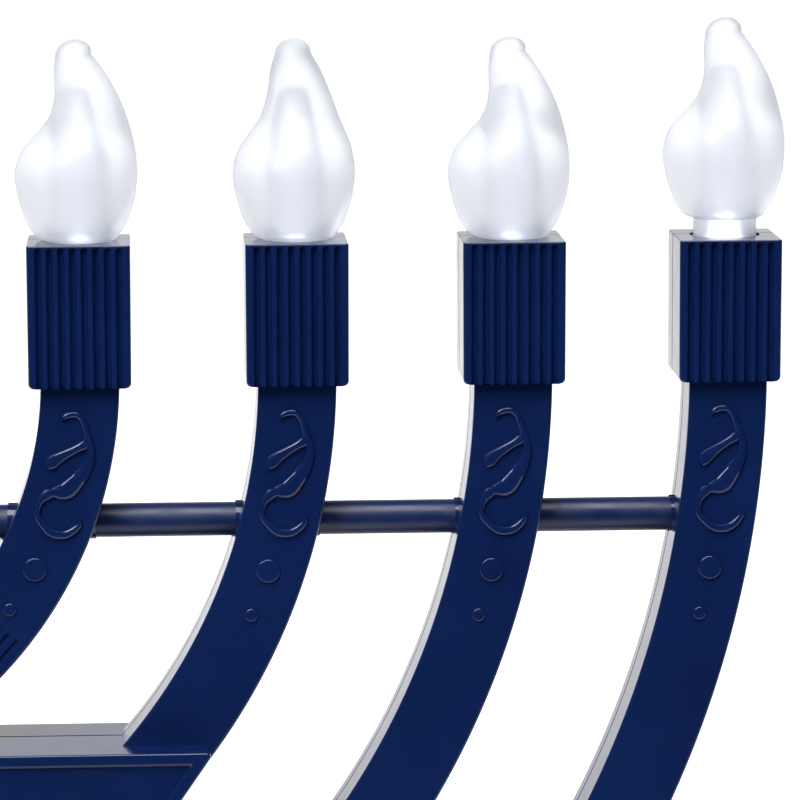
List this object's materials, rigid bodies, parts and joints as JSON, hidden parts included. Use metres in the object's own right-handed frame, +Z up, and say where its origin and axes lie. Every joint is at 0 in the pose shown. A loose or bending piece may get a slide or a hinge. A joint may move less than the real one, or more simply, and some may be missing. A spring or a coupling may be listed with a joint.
{
  "type": "menorah",
  "caption": "Electric menorah: arched arms with a raised middle light, square fluted cups, twist-in flame bulbs, a cross bar, a battery compartment at the back and a stepped, weighted base.",
  "frame": {"origin": "on the table, under the middle of the base", "axes": "+Z up, +X to the right as seen from the front, -Y towards the viewer; the flat side of the arches faces -Y"},
  "size_m": [0.367, 0.076, 0.3023],
  "materials": {
    "navy_plastic": "high-gloss moulded navy blue",
    "frosted_flame": "clear plastic with a milky frosting inside",
    "tinned_metal": "tinned sheet",
    "plated_steel": "zinc plated",
    "white_plastic": "satin white",
    "black_plastic": "fine matt texture",
    "cell_wrap": "shrink film over the cell",
    "board_green": "solder resist",
    "wire_cover": "soft insulation",
    "foot_rubber": "matt"
  },
  "bodies": {
    "root": {"front_shell": "navy_plastic", "rear_shell": "navy_plastic", "cross_bar": "navy_plastic", "base_cover": "navy_plastic", "base_plate": "navy_plastic", "ballast_plate": "plated_steel", "battery_tray": "black_plastic", "battery_1": "cell_wrap", "battery_2": "cell_wrap", "battery_3": "cell_wrap", "contact_left": "plated_steel", "contact_right": "plated_steel", "circuit_board": "board_green", "usb_inlet": "plated_steel", "shell_screw_1": "plated_steel", "shell_screw_2": "plated_steel", "shell_screw_3": "plated_steel", "shell_screw_4": "plated_steel", "base_screw_left": "plated_steel", "base_screw_right": "plated_steel", "foot_1": "foot_rubber", "foot_2": "foot_rubber", "foot_3": "foot_rubber", "foot_4": "foot_rubber", "arm_wire_1": "wire_cover", "arm_wire_2_left": "wire_cover", "arm_wire_2_right": "wire_cover", "arm_wire_3": "wire_cover", "arm_wire_4": "wire_cover", "stem_wire": "wire_cover", "socket_left_4": "tinned_metal", "socket_left_3": "tinned_metal", "socket_left_2": "tinned_metal", "socket_left_1": "tinned_metal", "socket_shamash": "tinned_metal", "socket_right_1": "tinned_metal", "socket_right_2": "tinned_metal", "socket_right_3": "tinned_metal", "socket_right_4": "tinned_metal"},
    "carrier_left_4": {"led_carrier_left_4": "white_plastic"},
    "bulb_left_4": {"flame_left_4": "frosted_flame"},
    "carrier_left_3": {"led_carrier_left_3": "white_plastic"},
    "bulb_left_3": {"flame_left_3": "frosted_flame"},
    "carrier_left_2": {"led_carrier_left_2": "white_plastic"},
    "bulb_left_2": {"flame_left_2": "frosted_flame"},
    "carrier_left_1": {"led_carrier_left_1": "white_plastic"},
    "bulb_left_1": {"flame_left_1": "frosted_flame"},
    "carrier_shamash": {"led_carrier_shamash": "white_plastic"},
    "bulb_shamash": {"flame_shamash": "frosted_flame"},
    "carrier_right_1": {"led_carrier_right_1": "white_plastic"},
    "bulb_right_1": {"flame_right_1": "frosted_flame"},
    "carrier_right_2": {"led_carrier_right_2": "white_plastic"},
    "bulb_right_2": {"flame_right_2": "frosted_flame"},
    "carrier_right_3": {"led_carrier_right_3": "white_plastic"},
    "bulb_right_3": {"flame_right_3": "frosted_flame"},
    "carrier_right_4": {"led_carrier_right_4": "white_plastic"},
    "bulb_right_4": {"flame_right_4": "frosted_flame"},
    "door": {"battery_door": "navy_plastic"},
    "switch": {"power_switch": "black_plastic"}
  },
  "joints": [
    {"name": "bulb_lift_left_4", "type": "slide", "parent": "root", "child": "carrier_left_4", "axis": [0, 0, 1], "range_m": [0, 0.003]},
    {"name": "bulb_turn_left_4", "type": "hinge", "parent": "carrier_left_4", "child": "bulb_left_4", "pos_m": [-0.174, 0.0009, 0.244], "axis": [0, 0, 1], "range_deg": [0, 360]},
    {"name": "bulb_lift_left_3", "type": "slide", "parent": "root", "child": "carrier_left_3", "axis": [0, 0, 1], "range_m": [0, 0.003]},
    {"name": "bulb_turn_left_3", "type": "hinge", "parent": "carrier_left_3", "child": "bulb_left_3", "pos_m": [-0.138, 0.0009, 0.244], "axis": [0, 0, 1], "range_deg": [0, 360]},
    {"name": "bulb_lift_left_2", "type": "slide", "parent": "root", "child": "carrier_left_2", "axis": [0, 0, 1], "range_m": [0, 0.003]},
    {"name": "bulb_turn_left_2", "type": "hinge", "parent": "carrier_left_2", "child": "bulb_left_2", "pos_m": [-0.102, 0.0009, 0.244], "axis": [0, 0, 1], "range_deg": [0, 360]},
    {"name": "bulb_lift_left_1", "type": "slide", "parent": "root", "child": "carrier_left_1", "axis": [0, 0, 1], "range_m": [0, 0.003]},
    {"name": "bulb_turn_left_1", "type": "hinge", "parent": "carrier_left_1", "child": "bulb_left_1", "pos_m": [-0.066, 0.0009, 0.244], "axis": [0, 0, 1], "range_deg": [0, 360]},
    {"name": "bulb_lift_shamash", "type": "slide", "parent": "root", "child": "carrier_shamash", "axis": [0, 0, 1], "range_m": [0, 0.003]},
    {"name": "bulb_turn_shamash", "type": "hinge", "parent": "carrier_shamash", "child": "bulb_shamash", "pos_m": [0, 0.0009, 0.269], "axis": [0, 0, 1], "range_deg": [0, 360]},
    {"name": "bulb_lift_right_1", "type": "slide", "parent": "root", "child": "carrier_right_1", "axis": [0, 0, 1], "range_m": [0, 0.003]},
    {"name": "bulb_turn_right_1", "type": "hinge", "parent": "carrier_right_1", "child": "bulb_right_1", "pos_m": [0.066, 0.0009, 0.244], "axis": [0, 0, 1], "range_deg": [0, 360]},
    {"name": "bulb_lift_right_2", "type": "slide", "parent": "root", "child": "carrier_right_2", "axis": [0, 0, 1], "range_m": [0, 0.003]},
    {"name": "bulb_turn_right_2", "type": "hinge", "parent": "carrier_right_2", "child": "bulb_right_2", "pos_m": [0.102, 0.0009, 0.244], "axis": [0, 0, 1], "range_deg": [0, 360]},
    {"name": "bulb_lift_right_3", "type": "slide", "parent": "root", "child": "carrier_right_3", "axis": [0, 0, 1], "range_m": [0, 0.003]},
    {"name": "bulb_turn_right_3", "type": "hinge", "parent": "carrier_right_3", "child": "bulb_right_3", "pos_m": [0.138, 0.0009, 0.244], "axis": [0, 0, 1], "range_deg": [0, 360]},
    {"name": "bulb_lift_right_4", "type": "slide", "parent": "root", "child": "carrier_right_4", "axis": [0, 0, 1], "range_m": [-0.003, 0]},
    {"name": "bulb_turn_right_4", "type": "hinge", "parent": "carrier_right_4", "child": "bulb_right_4", "pos_m": [0.174, 0.0009, 0.244], "axis": [0, 0, 1], "range_deg": [-360, 0]},
    {"name": "battery_door_hinge", "type": "hinge", "parent": "root", "child": "door", "pos_m": [0, 0.012, 0.10395], "axis": [-1, 0, 0], "range_deg": [0, 100]},
    {"name": "power_switch_slide", "type": "slide", "parent": "root", "child": "switch", "axis": [1, 0, 0], "range_m": [0, 0.004]}
  ],
  "couplings": [
    {"joint": "bulb_turn_left_4", "follows": "bulb_lift_left_4", "rad_per_m": 2094.4},
    {"joint": "bulb_turn_left_3", "follows": "bulb_lift_left_3", "rad_per_m": 2094.4},
    {"joint": "bulb_turn_left_2", "follows": "bulb_lift_left_2", "rad_per_m": 2094.4},
    {"joint": "bulb_turn_left_1", "follows": "bulb_lift_left_1", "rad_per_m": 2094.4},
    {"joint": "bulb_turn_shamash", "follows": "bulb_lift_shamash", "rad_per_m": 2094.4},
    {"joint": "bulb_turn_right_1", "follows": "bulb_lift_right_1", "rad_per_m": 2094.4},
    {"joint": "bulb_turn_right_2", "follows": "bulb_lift_right_2", "rad_per_m": 2094.4},
    {"joint": "bulb_turn_right_3", "follows": "bulb_lift_right_3", "rad_per_m": 2094.4},
    {"joint": "bulb_turn_right_4", "follows": "bulb_lift_right_4", "rad_per_m": 2094.4}
  ]
}
